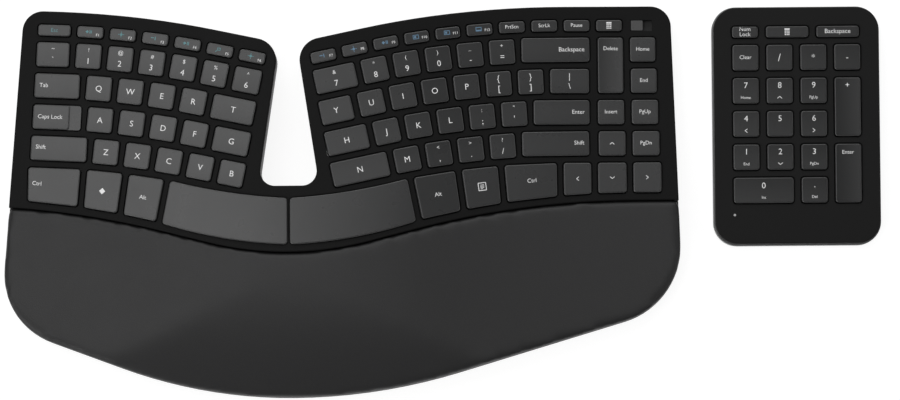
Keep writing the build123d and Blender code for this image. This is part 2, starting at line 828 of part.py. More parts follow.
    parts["battery_contacts"] = contacts

    # Main board on four posts
    corners = [(i * (board_length / 2 - board_post_radius),
                board_y + j * (board_width / 2 - board_post_radius))
               for i in (-1, 1) for j in (-1, 1)]
    for x, y in corners:
        case += prism(Pos(x, y) * Circle(board_post_radius), foot_height, board_height)
    board = Pos(0, board_y, board_height + board_wall / 2) * Box(
        board_length, board_width, board_wall)
    top = board_height + board_wall
    for x, y, w, d, h in board_chips:
        board += Pos(x, board_y + y, top + h / 2) * Box(w, d, h)
    parts["circuit_board"] = [board]
    parts["bottom_case"] = [case - case_cuts]

    parts.update(number_pad())
    return parts


def pad_keys():
    """Plan centres and sizes of the number pad's caps, by node, from the pad's centre."""
    column = [(i - 1.5) * pad_column for i in range(4)]
    row = [pad_first_row - i * pad_row for i in range(5)]
    single = (pad_cap_width, pad_cap_depth)
    tall = (pad_cap_width, pad_cap_depth + pad_row)
    wide = (pad_cap_width + pad_column, pad_cap_depth)
    return {
        "pad_function_keys": [((x, pad_function_row), (w, function_cap_depth))
                              for x, w in pad_strip],
        "pad_operator_keys": [((x, row[0]), single) for x in column],
        "pad_digit_keys": [((column[i], row[j]), single) for j in (1, 2, 3) for i in range(3)]
        + [((column[2], row[4]), single)],
        "pad_tall_keys": [((column[3], (row[1] + row[2]) / 2), tall),
                          ((column[3], (row[3] + row[4]) / 2), tall)],
        "pad_zero_key": [(((column[0] + column[1]) / 2, row[4]), wide)],
    }


def number_pad():
    """The number pad: a flat unit with its own shells, plate, films, board and coin cell."""
    parts = {}
    place = Pos(pad_x, pad_y, 0)
    width = pad_width - 2 * pad_flare
    depth = pad_depth - 2 * pad_flare
    area = place * RectangleRounded(width, depth, pad_corner)
    case_area = place * RectangleRounded(pad_width, pad_depth, pad_corner + pad_flare)
    openings = []
    links = []
    domes = []
    for node, group in pad_keys().items():
        parts[node] = []
        for (x, y), size in group:
            frame = Pos(pad_x + x, pad_y + y, pad_height)
            parts[node].append(frame * plain_cap(size))
            hole = RectangleRounded(size[0] + 2 * cap_clearance, size[1] + 2 * cap_clearance,
                                    cap_corner + cap_clearance)
            openings.append(frame * prism(hole, -pad_lip_depth, cap_height))
            small = size[1] < cap_depth * 0.8
            links.append(frame * (small_link if small else wide_link))
            domes.append(frame * (small_dome if small else wide_dome))
    parts["pad_scissor_links"] = links

    film_top = dome_depth + film_gap
    plate_top = film_top + membrane_film + film_gap
    plate_bottom = plate_top + plate_wall
    seat = pad_height - plate_bottom - film_gap
    tip = pad_height - screw_reach
    points = [(pad_x + i * (width / 2 - pad_screw_inset), pad_y + j * (depth / 2 - pad_screw_inset))
              for i in (-1, 1) for j in (-1, 1)]
    fasteners = [(x, y, seat, tip) for x, y in points]
    parts["pad_screws"] = [fastener(*f) for f in fasteners]

    deck = round_rim(prism(area, pad_height - pad_lip_depth, pad_height))
    deck -= prism(offset(area, -lip_wall), 0, pad_height - deck_wall)
    deck += [prism(Pos(x, y) * Circle(post_radius), pad_height - plate_top + film_gap,
                   pad_height - deck_wall / 2) for x, y in points]
    light_place = Pos(pad_x + pad_light[0], pad_y + pad_light[1])
    light = light_place * Circle(light_radius)
    flange = light_place * Circle(2 * light_radius)
    parts["pad_status_light"] = [
        prism(light, pad_height - deck_wall - 1, pad_height)
        + prism(flange, pad_height - dome_depth + film_gap, pad_height - deck_wall - film_gap)]
    openings.append(prism(light_place * Circle(light_radius + film_gap)))
    openings += [screw_hole(x, y, z, tip + screw_clearance) for x, y, z, tip in fasteners]
    parts["pad_deck"] = [deck - openings]

    inner = offset(area, -lip_wall - side_gap)
    posts = film_holes(points, post_radius + seat_gap)
    parts["pad_rubber_domes"] = domes
    parts["pad_membrane_sheet"] = [prism(inner, pad_height - film_top - membrane_film,
                                         pad_height - film_top) - posts]
    plate = prism(inner, pad_height - plate_bottom, pad_height - plate_top)
    parts["pad_backplate"] = [plate - [screw_hole(x, y, 0, pad_height) for x, y in points]]

    floor_top = foot_height + floor_wall
    rim = pad_height - pad_lip_depth - layer_gap
    case = prism(case_area, foot_height, rim)
    case -= prism(offset(case_area, -case_wall - pad_flare), floor_top, rim)
    for x, y, z, _ in fasteners:
        case += prism(Pos(x, y) * Circle(boss_radius), foot_height, z)
    cuts = [counterbore(x, y, z) for x, y, z, _ in fasteners]
    cuts += [screw_hole(x, y, foot_height, z + 1) for x, y, z, _ in fasteners]
    pad_feet = [(pad_x + i * (width / 2 - pad_foot_inset), pad_y + j * (depth / 2 - pad_foot_inset))
                for i in (-1, 1) for j in (-1, 1)]
    cuts += [prism(Pos(x, y) * Circle(foot_radius + film_gap), 0, foot_height + foot_recess)
             for x, y in pad_feet]
    parts["pad_rubber_feet"] = [prism(Pos(x, y) * Circle(foot_radius), 0,
                                      foot_height + foot_recess) for x, y in pad_feet]

    cell_z = foot_height + door_wall + seat_gap
    bay = place * Circle(coin_radius + seat_gap)
    case += prism(place * Circle(coin_radius + seat_gap + bay_wall), foot_height,
                  cell_z + coin_height + seat_gap)
    cuts.append(prism(bay, 0, pad_height / 2))
    cuts.append(prism(place * Circle(coin_radius + door_lip + door_gap), 0,
                      foot_height + door_wall + film_gap))
    parts["pad_battery"] = [prism(place * Circle(coin_radius), cell_z, cell_z + coin_height)]
    parts["pad_battery_door"] = [prism(place * Circle(coin_radius + door_lip), foot_height,
                                       foot_height + door_wall)]

    board_z = floor_top + pad_board_lift
    board = Pos(pad_x, pad_y + pad_board_y)
    for i in (-1, 1):
        post = Pos(i * (pad_board_length / 2 - 2 * board_post_radius), 0)
        case += prism(board * post * Circle(board_post_radius), foot_height, board_z)
    parts["pad_circuit_board"] = [
        prism(board * Rectangle(pad_board_length, board_width), board_z, board_z + board_wall)
        + prism(board * Rectangle(pad_chip, pad_chip), board_z + board_wall,
                board_z + 2 * board_wall)]
    parts["pad_bottom_case"] = [case - cuts]
    return parts


small_link = link_unit(small_link_length)
wide_link = link_unit(link_length)
small_dome = dome(small_dome_scale)
wide_dome = dome(1.0)


if __name__ == "__main__":
    made = main()
    boxes = [solid.bounding_box() for solids in made.values() for solid in solids]
    origin_x = (min(b.min.X for b in boxes) + max(b.max.X for b in boxes)) / 2
    origin_y = (min(b.min.Y for b in boxes) + max(b.max.Y for b in boxes)) / 2
    for node, solids in made.items():
        whole = Compound(children=[s for solid in solids for s in solid.solids()])
        export_step(Pos(-origin_x, -origin_y, 0) * whole, f"parts/{node}.step")
    print("nodes", len(made), "origin at", round(origin_x, 4), round(origin_y, 4))
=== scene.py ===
import json
import bpy
import bmesh
from math import radians
from mathutils import Vector, Matrix
from mathutils.bvhtree import BVHTree
from mathutils.kdtree import KDTree

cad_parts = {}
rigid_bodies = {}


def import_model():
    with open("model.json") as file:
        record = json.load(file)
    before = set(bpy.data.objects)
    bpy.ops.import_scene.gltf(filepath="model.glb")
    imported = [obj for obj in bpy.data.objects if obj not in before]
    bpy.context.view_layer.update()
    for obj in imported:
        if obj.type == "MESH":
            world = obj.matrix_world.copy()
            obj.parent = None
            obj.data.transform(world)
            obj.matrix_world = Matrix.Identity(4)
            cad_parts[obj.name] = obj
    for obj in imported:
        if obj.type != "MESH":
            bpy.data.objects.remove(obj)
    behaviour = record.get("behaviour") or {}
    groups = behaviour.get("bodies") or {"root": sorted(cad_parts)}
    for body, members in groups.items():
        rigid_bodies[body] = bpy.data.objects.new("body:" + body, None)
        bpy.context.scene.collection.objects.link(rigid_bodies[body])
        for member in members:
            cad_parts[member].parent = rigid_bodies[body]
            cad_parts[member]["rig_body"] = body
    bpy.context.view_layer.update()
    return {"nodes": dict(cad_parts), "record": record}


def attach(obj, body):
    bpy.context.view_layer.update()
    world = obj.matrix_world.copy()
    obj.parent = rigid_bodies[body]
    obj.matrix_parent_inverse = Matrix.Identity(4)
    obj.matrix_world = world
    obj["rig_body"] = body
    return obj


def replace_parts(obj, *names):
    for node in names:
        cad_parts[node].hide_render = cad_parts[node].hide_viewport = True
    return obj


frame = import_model()
nodes = frame["nodes"]
mm = 0.001
print("frame loaded,", len(nodes), "nodes")

view = {
    "aim": (3.9, 1.05, 15.0),     # mm, middle of the picture
    "distance": 3.4,              # m
    "tilt": 3.0,                  # degrees towards the front
    "roll": -0.47,
    "width": 0.5224,              # m across the picture at the aim
    "sensor": 36.0,               # mm
}
studio = {
    "floorSize": 4.0,             # m, half its width
    "floorColor": (0.3, 0.3, 0.3, 1.0),
    "floorRoughness": 0.9,
    "floorGlow": 0.87,            # as the camera and reflections see it
    "sky": 0.08,
    "lamps": [
        # name, place in m, width, depth, watts
        ("keyLamp", (-0.64, 0.25, 1.5), 0.5, 1.1, 2.5),
        ("topLamp", (-0.31, 0.25, 1.5), 1.08, 1.1, 5.0),
        ("leftLamp", (-1.2, -1.0, 0.9), 1.2, 0.9, 12.0),
        ("rightLamp", (1.5, -0.3, 1.0), 1.2, 0.9, 4.0),
        ("rearLamp", (0.1, 1.5, 1.1), 2.2, 1.0, 16.0),
    ],
}


# effects that several materials share

effects = {
    "grainDetail": 3.0,
    "grainHeight": 0.00005,    # m
    "driftScale": 90.0,        # of the patches in which the gloss changes
    "driftDetail": 2.0,
    "toneDetail": 4.0,
    "toneRoughness": 0.6,
    "wanderScale": 260.0,      # of what bends the cover's cells
    "wanderDetail": 2.0,
    "wander": 0.0016,
    "creaseWidth": 0.22,       # share of a cell
    "creaseHeight": 0.00008,   # m
    "wallFade": 0.4,           # upward part of the normal where a cap's wall begins
    "coatRoughness": 0.12,
}
# numbers of the Mix node's two inputs and its output
mixSockets = {"FLOAT": (2, 3, 0), "VECTOR": (4, 5, 1), "RGBA": (6, 7, 2)}


def grey(level, warm=0.0):
    return (level * (1 + warm), level, level * (1 - warm), 1.0)


def fill(tree, node, values):
    # a value is a plain one, or a socket to link from
    for key, value in values.items():
        if isinstance(value, bpy.types.NodeSocket):
            tree.links.new(value, node.inputs[key])
        else:
            node.inputs[key].default_value = value


def addNode(tree, kind, values=None, **settings):
    node = tree.nodes.new(kind)
    for key, value in settings.items():
        setattr(node, key, value)
    fill(tree, node, values or {})
    return node


def addMath(tree, operation, first, second):
    node = addNode(tree, "ShaderNodeMath", {0: first, 1: second}, operation=operation)
    return node.outputs[0]


def addMix(tree, kind, share, first, second):
    a, b, result = mixSockets[kind]
    node = addNode(tree, "ShaderNodeMix", {0: share, a: first, b: second}, data_type=kind)
    return node.outputs[result]


def newGroup(name, inputs, outputs):
    # inputs with their plain values, outputs with their kinds
    group = bpy.data.node_groups.new(name, "ShaderNodeTree")
    for label, value in inputs.items():
        kind = "NodeSocketColor" if isinstance(value, tuple) else "NodeSocketFloat"
        socket = group.interface.new_socket(name=label, in_out="INPUT", socket_type=kind)
        socket.default_value = value
    for label, kind in outputs.items():
        group.interface.new_socket(name=label, in_out="OUTPUT", socket_type=kind)
    given = group.nodes.new("NodeGroupInput").outputs
    return group, given, group.nodes.new("NodeGroupOutput")


def objectPlace(group):
    return addNode(group, "ShaderNodeTexCoord").outputs["Object"]


def makeGrain():
    # fine spark-eroded grain of moulded plastic, with a slow drift of its gloss
    group, given, end = newGroup(
        "mouldedGrain", {"Scale": 2500.0, "Depth": 0.2, "Gloss": 0.5, "Drift": 0.06},
        {"Normal": "NodeSocketVector", "Roughness": "NodeSocketFloat"})
    place = objectPlace(group)
    grain = addNode(group, "ShaderNodeTexNoise", {
        "Vector": place, "Scale": given["Scale"], "Detail": effects["grainDetail"]})
    drift = addNode(group, "ShaderNodeTexNoise", {
        "Vector": place, "Scale": effects["driftScale"], "Detail": effects["driftDetail"]})
    bump = addNode(group, "ShaderNodeBump", {
        "Height": grain.outputs["Fac"], "Strength": given["Depth"],
        "Distance": effects["grainHeight"]})
    centred = addMath(group, "SUBTRACT", drift.outputs["Fac"], 0.5)
    change = addMath(group, "MULTIPLY", centred, given["Drift"])
    fill(group, end, {"Normal": bump.outputs["Normal"],
                      "Roughness": addMath(group, "ADD", change, given["Gloss"])})
    return group


def makeTone():
    # slow change between two near colours
    group, given, end = newGroup(
        "toneShift", {"Color A": grey(0.05), "Color B": grey(0.04), "Scale": 40.0},
        {"Color": "NodeSocketColor"})
    patches = addNode(group, "ShaderNodeTexNoise", {
        "Vector": objectPlace(group), "Scale": given["Scale"],
        "Detail": effects["toneDetail"], "Roughness": effects["toneRoughness"]})
    fill(group, end, {"Color": addMix(group, "RGBA", patches.outputs["Fac"], given["Color A"],
                                      given["Color B"])})
    return group


def makeHide():
    # pebbled grain of a thin cover over foam; its crease share, 0 in the creases and 1 on the
    # cells, darkens the cover's colour in the creases, a painted shade
    group, given, end = newGroup(
        "coverGrain", {"Cell": 900.0, "Depth": 0.3},
        {"Normal": "NodeSocketVector", "CreaseShade": "NodeSocketFloat"})
    place = objectPlace(group)
    wander = addNode(group, "ShaderNodeTexNoise", {
        "Vector": place, "Scale": effects["wanderScale"], "Detail": effects["wanderDetail"]})
    bent = addMix(group, "VECTOR", effects["wander"], place, wander.outputs["Color"])
    cells = addNode(group, "ShaderNodeTexVoronoi", {"Vector": bent, "Scale": given["Cell"]},
                    feature="DISTANCE_TO_EDGE")
    crease = addNode(group, "ShaderNodeMapRange", {
        "Value": cells.outputs["Distance"], "From Max": effects["creaseWidth"]})
    bump = addNode(group, "ShaderNodeBump", {
        "Height": crease.outputs["Result"], "Strength": given["Depth"],
        "Distance": effects["creaseHeight"]})
    fill(group, end, {"Normal": bump.outputs["Normal"], "CreaseShade": crease.outputs["Result"]})
    return group


def makeEdgeHighlightMask():
    # mask of a cap's rounded rim, where the surface turns from the top to the wall; the caps'
    # colour is lightened by it, a painted highlight
    group, given, end = newGroup(
        "paintedHighlightEdge", {"Top": 0.95, "Turn": 0.86, "Wall": 0.15}, {"Mask": "NodeSocketFloat"})
    normal = addNode(group, "ShaderNodeNewGeometry").outputs["Normal"]
    upward = addNode(group, "ShaderNodeSeparateXYZ", {0: normal}).outputs["Z"]
    below = addNode(group, "ShaderNodeMapRange", {
        "Value": upward, "From Min": given["Top"], "From Max": given["Turn"]})
    above = addNode(group, "ShaderNodeMapRange", {
        "Value": upward, "From Min": given["Wall"], "From Max": effects["wallFade"]})
    fill(group, end, {"Mask": addMath(group, "MULTIPLY", below.outputs["Result"],
                                      above.outputs["Result"])})
    return group


grainGroup = makeGrain()
toneGroup = makeTone()
coverGroup = makeHide()
highlightEdgeGroup = makeEdgeHighlightMask()


def placeGroup(tree, group, values):
    return addNode(tree, "ShaderNodeGroup", values, node_tree=group).outputs


def newMaterial(name, shaderValues):
    material = bpy.data.materials.new(name)
    material.use_nodes = True
    tree = material.node_tree
    shader = tree.nodes["Principled BSDF"]
    fill(tree, shader, shaderValues)
    return material, tree, shader


# moulded, painted and metal finishes: two near colours, their patch size, gloss and grain; on
# the caps, edge is a lighter colour on their rounded rim, a painted highlight, and edgeGloss a
# lower roughness there
finishes = {
    "key_caps": dict(a=grey(0.022, -0.02), b=grey(0.019, -0.02), patch=30, gloss=0.28,
                     grain=3600, depth=0.16, drift=0.05, edge=grey(0.1),
                     edgeGloss=0.22),
    # darker copy of the keyboard's caps for the number pad, a painted shade
    "padCapsShadedCopy": dict(a=grey(0.018, -0.02), b=grey(0.0155, -0.02), patch=30, gloss=0.3,
                    grain=3600, depth=0.16, drift=0.05, shine=0.46, edge=grey(0.09),
                    edgeGloss=0.24),
    # lighter copy of the keyboard's deck for the number pad, painted light
    "padDeckLitCopy": dict(a=grey(0.0135), b=grey(0.0115), patch=14, gloss=0.6, grain=2600,
                    depth=0.05, drift=0.05, shine=0.1),
    "deck_shell": dict(a=grey(0.0085), b=grey(0.0072), patch=14, gloss=0.6, grain=2600,
                       depth=0.05, drift=0.05, shine=0.1),
    "case_shell": dict(a=grey(0.017), b=grey(0.013), patch=20, gloss=0.55, grain=1800,
                       depth=0.5, drift=0.08),
    "pad_case_shell": dict(a=grey(0.17, -0.01), b=grey(0.15, -0.01), patch=20, gloss=0.4,
                           grain=2400, depth=0.15, drift=0.05),
    "foot_rubber": dict(a=grey(0.02), b=grey(0.014), patch=120, gloss=0.75, grain=1500,
                        depth=0.6, drift=0.1),
    "dome_rubber": dict(a=grey(0.09, 0.02), b=grey(0.07, 0.02), patch=60, gloss=0.5,
                        grain=1500, depth=0.3, drift=0.1),
    "membrane_film": dict(a=grey(0.012), b=grey(0.009), patch=30, gloss=0.5, grain=800,
                          depth=0.1, drift=0.05),
    "plate_metal": dict(a=grey(0.6), b=grey(0.52), patch=25, gloss=0.38, grain=900,
                        depth=0.3, drift=0.12, metal=1.0),
    "link_plastic": dict(a=grey(0.02), b=grey(0.016), patch=80, gloss=0.5, grain=2000,
                         depth=0.15, drift=0.05),
    "steel_wire": dict(a=grey(0.55), b=grey(0.48), patch=200, gloss=0.3, grain=2500,
                       depth=0.3, drift=0.1, metal=1.0),
    "contact_metal": dict(a=grey(0.75), b=grey(0.68), patch=90, gloss=0.18, grain=1200,
                          depth=0.15, drift=0.08, metal=1.0),
    "cell_metal": dict(a=(0.3, 0.33, 0.37, 1), b=(0.26, 0.29, 0.33, 1), patch=60, gloss=0.3,
                       grain=1200, depth=0.1, drift=0.08, coat=0.3, metal=0.4),
    "board_laminate": dict(a=(0.015, 0.13, 0.05, 1), b=(0.01, 0.09, 0.035, 1), patch=160,
                           gloss=0.3, grain=1500, depth=0.3, drift=0.1, coat=0.4),
    "switch_plastic": dict(a=grey(0.06), b=grey(0.052), patch=60, gloss=0.38, grain=3000,
                           depth=0.2, drift=0.05),
    "light_lens": dict(a=grey(0.5), b=grey(0.42), patch=200, gloss=0.15, grain=2000,
                       depth=0.05, drift=0.02, coat=0.4),
    "legendWhite": dict(a=grey(0.92), b=grey(0.88), patch=60, gloss=0.5, grain=3000,
                        depth=0.1, drift=0.04),
    "legendTeal": dict(a=(0.11, 0.27, 0.29, 1), b=(0.1, 0.24, 0.26, 1), patch=60, gloss=0.5,
                       grain=3000, depth=0.1, drift=0.04),
    "legendBlue": dict(a=(0.13, 0.25, 0.37, 1), b=(0.12, 0.22, 0.33, 1), patch=60, gloss=0.5,
                       grain=3000, depth=0.1, drift=0.04),
}


def makeFinish(name, f):
    material, tree, shader = newMaterial(name, {
        "Coat Weight": f.get("coat", 0.0), "Coat Roughness": effects["coatRoughness"],
        "Specular IOR Level": f.get("shine", 0.5), "Metallic": f.get("metal", 0.0)})
    color = placeGroup(tree, toneGroup, {
        "Color A": f["a"], "Color B": f["b"], "Scale": f["patch"]})["Color"]
    grain = placeGroup(tree, grainGroup, {
        "Scale": f["grain"], "Depth": f["depth"], "Gloss": f["gloss"], "Drift": f["drift"]})
    gloss = grain["Roughness"]
    # on the caps, a lighter colour on the rounded rim is a painted highlight; the rim's lower
    # roughness makes it shinier
    if "edge" in f:
        mask = placeGroup(tree, highlightEdgeGroup, {})["Mask"]
        color = addMix(tree, "RGBA", mask, color, f["edge"])
        gloss = addMix(tree, "FLOAT", mask, gloss, f["edgeGloss"])
    fill(tree, shader, {"Base Color": color, "Roughness": gloss, "Normal": grain["Normal"]})
    return material


cover = {
    "ridge": (0.0185, 0.0185, 0.019, 1.0),
    "fade": 0.9,           # share of the ridge's colour in its darker patches
    "patch": 12.0,
    # darker colour in the creases of the grain, a painted shade
    "crease": (0.0135, 0.0135, 0.014, 1.0),
    "cell": 1100.0,
    "depth": 0.22,
    "gloss": 0.5,
    "drift": 0.06,
    "shine": 0.42,
    "sheen": 0.02,
    "sheenRoughness": 0.5,
}


def makeCover():
    material, tree, shader = newMaterial("palm_cover", {
        "Sheen Weight": cover["sheen"], "Sheen Roughness": cover["sheenRoughness"],
        "Specular IOR Level": cover["shine"]})
    darker = tuple(c * cover["fade"] for c in cover["ridge"][:3]) + (1,)
    hide = placeGroup(tree, coverGroup, {"Cell": cover["cell"], "Depth": cover["depth"]})
    tone = placeGroup(tree, toneGroup, {
        "Color A": cover["ridge"], "Color B": darker, "Scale": cover["patch"]})
    grain = placeGroup(tree, grainGroup, {"Gloss": cover["gloss"], "Drift": cover["drift"]})
    # the creases of the grain take the darker crease colour, a painted shade
    color = addMix(tree, "RGBA", hide["CreaseShade"], cover["crease"], tone["Color"])
    fill(tree, shader, {"Base Color": color, "Roughness": grain["Roughness"],
                        "Normal": hide["Normal"]})
    return material


materials = {name: makeFinish(name, f) for name, f in finishes.items()}
materials["palm_cover"] = makeCover()
# the number pad's caps get a darker copy of the keyboard's cap finish, a painted shade, and its
# deck a lighter copy of the keyboard's deck finish, painted light
paintedLightCopies = {"pad_deck": "padDeckLitCopy"}
paintedLightCopies.update({f"pad_{kind}": "padCapsShadedCopy" for kind in (
    "function_keys", "operator_keys", "digit_keys", "tall_keys", "zero_key")})
for entry in frame["record"]["subparts"]:
    skin = nodes[entry["node"]].data
    finish = paintedLightCopies.get(entry["node"], entry["material_slot"])
    skin.materials.clear()
    skin.materials.append(materials[finish])
print("materials placed on the nodes")


# the palm rest: moulded foam under a thin taut cover

palmRest = {
    "voxel": 1.8,           # mm
    "edgeSoftening": 4,     # passes over the whole skin
    "edgeFactor": 0.5,
    "topSoftening": 260,    # passes over the upper face
    "topSlope": 0.6,        # least upward part of its normal
    "fade": 26.0,           # mm from the rim over which they begin
    "fill": 0.95,           # from 0, slack, to 1, tight
}
weld = 0.002 * mm           # corners closer than this are one


def joinedCopy(node):
    bm = bmesh.new()
    bm.from_mesh(nodes[node].data)
    bmesh.ops.remove_doubles(bm, verts=bm.verts, dist=weld)
    return bm


def makePiece(bm, name, node, skins):
    # a piece that moves with a node's body
    mesh = bpy.data.meshes.new(name)
    bm.to_mesh(mesh)
    bm.free()
    for skin in skins:
        mesh.materials.append(materials[skin])
    piece = bpy.data.objects.new(name, mesh)
    bpy.context.scene.collection.objects.link(piece)
    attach(piece, nodes[node]["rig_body"])
    return piece


def applyModifiers(piece):
    seen = bpy.context.evaluated_depsgraph_get()
    finished = bpy.data.meshes.new_from_object(piece.evaluated_get(seen))
    piece.modifiers.clear()
    piece.data = finished


def weighTop(piece):
    # the upper face, from nothing at its rim to full away from it
    verts = piece.data.vertices
    side = [v for v in verts if v.normal.z < palmRest["topSlope"]]
    rim = KDTree(len(side))
    for i, v in enumerate(side):
        rim.insert(v.co, i)
    rim.balance()
    group = piece.vertex_groups.new(name="top")
    for v in verts:
        if v.normal.z >= palmRest["topSlope"]:
            share = min(1.0, rim.find(v.co)[2] / (palmRest["fade"] * mm))
            group.add([v.index], share * share * (3 - 2 * share), "REPLACE")


def makePalmRest():
    piece = makePiece(joinedCopy("palm_rest_pad"), "palm_rest_cushion", "palm_rest_pad",
                      ["palm_cover"])
    shell = piece.modifiers.new("foam", "REMESH")
    shell.mode = "VOXEL"
    shell.voxel_size = palmRest["voxel"] * mm
    applyModifiers(piece)
    weighTop(piece)
    soft = piece.modifiers.new("crown", "SMOOTH")
    soft.vertex_group = "top"
    soft.iterations = palmRest["topSoftening"]
    applyModifiers(piece)
    piece.vertex_groups.clear()
    bm = bmesh.new()
    bm.from_mesh(piece.data)
    for _ in range(palmRest["edgeSoftening"]):
        bmesh.ops.smooth_vert(bm, verts=bm.verts, factor=palmRest["edgeFactor"],
                              use_axis_x=True, use_axis_y=True, use_axis_z=True)
    for face in bm.faces:
        face.smooth = True
    bm.to_mesh(piece.data)
    bm.free()
    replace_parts(piece, "palm_rest_pad")
    print("palm rest,", len(piece.data.polygons), "faces")


makePalmRest()


# key legends: plain letters, digits and signs, printed on the cap tops

legend = {
    "letter": 3.3,       # mm, height of a capital
    "digit": 3.3,
    "word": 2.3,
    "longWord": 2.5,
    "navWord": 2.15,
    "label": 2.05,
    "padLabel": 2.25,
    "escLabel": 2.2,
    "slash": 4.2,
    "sign": 2.2,
    "small": 1.6,
    "tiny": 1.5,
    "icon": 1.25,        # scale of the signs on the function keys
    "lift": 0.015,       # mm above the cap
    "thick": 0.03,
    "thin": 0.002,       # strokes drawn in by this share of the height
    "upper": 3.7,        # mm, places of the two signs on a key
    "lower": -2.75,
    "tall": 2.9,         # of two tall signs
    "margin": 2.4,       # from a cap's side to a word that starts there
    "iconRise": 0.2,
    "numberAside": 4.5,  # place of a function key's number
    "greenDrop": -1.4,
    "blueDrop": -0.5,
    "firstBlue": 7,      # number of the first function key with a blue sign
    "padUpper": 3.2,     # places on the pad's digit keys
    "padLower": -3.9,
    "reach": 3.0,        # above a cap, from where its surface is looked for
}
capShape = {
    "topSlope": 0.93,    # least upward part of the top's normal
    "topDepth": 0.6,     # mm, deepest point of the top below its highest
    "rowGap": 9.0,       # mm, least step from one row of caps to the next
}


def textMesh(body, height, align):
    curve = bpy.data.curves.new("sign", "FONT")
    curve.body = body
    curve.size = height * mm / capShare
    curve.offset = -legend["thin"] * height * mm
    curve.align_x = align
    curve.extrude = legend["thick"] * mm / 2
    curve.resolution_u = 3
    holder = bpy.data.objects.new("sign", curve)
    mesh = bpy.data.meshes.new_from_object(holder)
    bpy.data.objects.remove(holder)
    return mesh


# height of a capital as a share of the font's size, measured on one that is 1 m high
capShare = 1.0
capShare = max(v.co.y for v in textMesh("H", 1000.0, "LEFT").vertices)

# signs drawn from bars: x, y, width, depth and turn, in mm and degrees
signs = {
    "left": [(0, 0.5, 1.9, 0.36, 40), (0, -0.5, 1.9, 0.36, -40)],
    "right": [(0, 0.5, 1.9, 0.36, -40), (0, -0.5, 1.9, 0.36, 40)],
    "up": [(-0.62, 0, 1.9, 0.36, 40), (0.62, 0, 1.9, 0.36, -40)],
    "down": [(-0.62, 0, 1.9, 0.36, -40), (0.62, 0, 1.9, 0.36, 40)],
    "menu": [(0, 2.2, 4.6, 0.42, 0), (0, -2.2, 4.6, 0.42, 0), (-2.2, 0, 0.42, 4.6, 0),
             (2.2, 0, 0.42, 4.6, 0), (0, 0.95, 2.3, 0.3, 0), (0, 0.2, 2.3, 0.3, 0),
             (0, -0.55, 2.3, 0.3, 0), (-0.4, -1.25, 1.5, 0.3, 0)],
    "sum": [(0, 1.55, 3.0, 0.9, 0)] + [(x, y, 0.7, 0.7, 0) for y in (0.4, -0.6, -1.6)
                                       for x in (-1.05, 0, 1.05)],
    "diamond": [(0, 0, 2.6, 2.6, 45)],
    "play": [(-0.7, 0, 1.1, 1.1, 45), (0.6, 0, 0.36, 1.5, 0), (1.2, 0, 0.36, 1.5, 0)],
    "dial": [(0, 0, 1.1, 1.1, 45), (-1.15, 0, 0.5, 0.3, 0), (1.15, 0, 0.5, 0.3, 0),
             (0, 1.15, 0.3, 0.5, 0), (0, -1.15, 0.3, 0.5, 0)],
    "step": [(-0.6, 0.2, 1.4, 0.4, 0), (0.7, 0, 0.4, 1.7, 0)],
    "lens": [(0.2, 0.75, 1.1, 0.32, 0), (0.2, -0.35, 1.1, 0.32, 0), (-0.4, 0.2, 0.32, 1.3, 0),
             (0.8, 0.2, 0.32, 1.3, 0), (-0.9, -0.9, 1.0, 0.36, 45)],
    "panel": [(0, 0.85, 2.7, 0.3, 0), (0, -0.85, 2.7, 0.3, 0), (-1.25, 0, 0.3, 1.9, 0),
              (1.25, 0, 0.3, 1.9, 0), (-0.35, 0, 0.9, 0.9, 0)],
    "tray": [(0, 0.85, 2.7, 0.3, 0), (-1.25, 0, 0.3, 1.9, 0), (1.25, 0, 0.3, 1.9, 0),
             (0, -0.6, 2.4, 0.7, 0)],
}


def signMesh(name, scale):
    bm = bmesh.new()
    for x, y, width, depth, turn in signs[name]:
        place = (Matrix.Diagonal((scale, scale, 1, 1)) @ Matrix.Translation((x * mm, y * mm, 0))
                 @ Matrix.Rotation(radians(turn), 4, "Z")
                 @ Matrix.Diagonal((width * mm, depth * mm, legend["thick"] * mm, 1)))
        bmesh.ops.create_cube(bm, size=1.0, matrix=place)
    mesh = bpy.data.meshes.new(name)
    bm.to_mesh(mesh)
    bm.free()
    return mesh


def two(upper, lower):
    return [(upper, "sign", 0.0, legend["upper"]), (lower, "digit", 0.0, legend["lower"])]


def tall(upper, lower):
    return [(upper, "digit", 0.0, legend["tall"]), (lower, "digit", 0.0, -legend["tall"])]


def letter(sign):
    return [(sign, "letter", 0.0, 0.0)]


def word(text, x=0.0, y=0.3, size="word"):
    return [(text, size, x, y)]


def media(number, sign, x=-0.9):
    green = number < legend["firstBlue"]
    drop = legend["greenDrop"] if green else legend["blueDrop"]
    return [("#" + sign, "teal" if green else "blue", x, legend["iconRise"]),
            (f"F{number}", "tiny", legend["numberAside"], drop)]


def padDigit(digit, lower=None):
    items = word(digit, y=legend["padUpper"], size="digit")
    return items + word(lower, y=legend["padLower"], size="small") if lower else items


